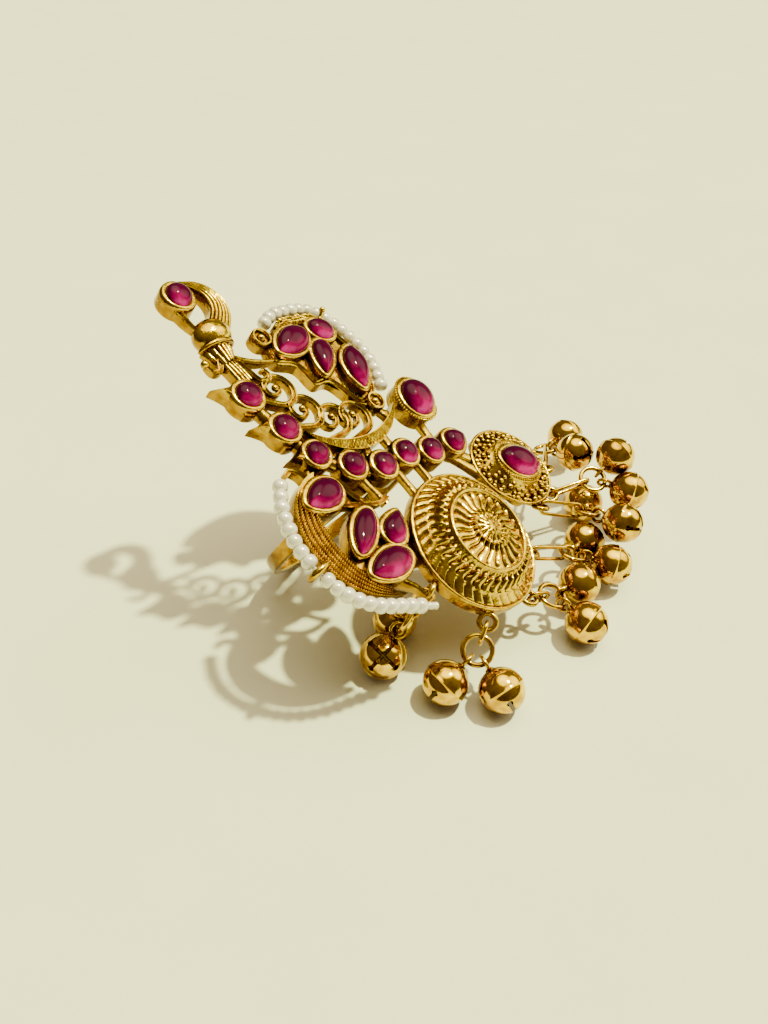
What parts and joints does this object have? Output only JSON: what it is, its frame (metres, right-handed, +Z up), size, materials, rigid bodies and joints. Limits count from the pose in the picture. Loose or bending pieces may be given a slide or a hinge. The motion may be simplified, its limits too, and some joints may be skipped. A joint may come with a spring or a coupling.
{
  "type": "finger ring",
  "caption": "Antique-gold statement finger ring: openwork peacock plate with magenta cabochons, seed pearl strings, a domed medallion and clusters of small slit bells.",
  "frame": {"origin": "middle of the underside of the whole box, on the table that the ring lies on", "axes": "+Z up from the table; +Y along the table from the bells towards the raised head, the finger's axis lies in the YZ plane; +X across the finger towards the oval flower"},
  "size_m": [0.0522, 0.0468, 0.0339],
  "materials": {
    "cast_gold": "antique gold casting, polished on the ridges and brown in the recesses",
    "bright_gold": "polished gold plate",
    "ruby": "smooth glossy magenta cabochon",
    "pearl": "satin nacre"
  },
  "bodies": {
    "root": {"ring_frame": "cast_gold", "stone_head": "ruby", "stone_arc_1": "ruby", "stone_arc_2": "ruby", "stone_arc_3": "ruby", "stone_arc_4": "ruby", "stone_arc_5": "ruby", "stone_arc_6": "ruby", "stone_arc_7": "ruby", "stone_arc_8": "ruby", "stone_crest": "ruby", "stone_flower": "ruby", "stone_upper_1": "ruby", "stone_upper_2": "ruby", "stone_upper_3": "ruby", "stone_upper_4": "ruby", "stone_lower_1": "ruby", "stone_lower_2": "ruby", "stone_lower_3": "ruby", "stone_lower_4": "ruby", "pearl_string_upper": "pearl", "pearl_string_lower": "pearl", "link_left": "bright_gold", "jump_ring_left": "bright_gold", "bell_left_1": "bright_gold", "bell_left_2": "bright_gold", "link_front": "bright_gold", "jump_ring_front": "bright_gold", "bell_front_1": "bright_gold", "bell_front_2": "bright_gold", "link_corner": "bright_gold", "jump_ring_corner": "bright_gold", "bell_corner_1": "bright_gold", "bell_corner_2": "bright_gold", "link_right": "bright_gold", "jump_ring_right": "bright_gold", "bell_right_1": "bright_gold", "bell_right_2": "bright_gold", "link_petal_1": "bright_gold", "jump_ring_petal_1": "bright_gold", "bell_petal_1_1": "bright_gold", "bell_petal_1_2": "bright_gold", "link_petal_2": "bright_gold", "jump_ring_petal_2": "bright_gold", "bell_petal_2_1": "bright_gold", "bell_petal_2_2": "bright_gold", "link_petal_3": "bright_gold", "jump_ring_petal_3": "bright_gold", "bell_petal_3_1": "bright_gold", "bell_petal_3_2": "bright_gold"}
  },
  "joints": []
}
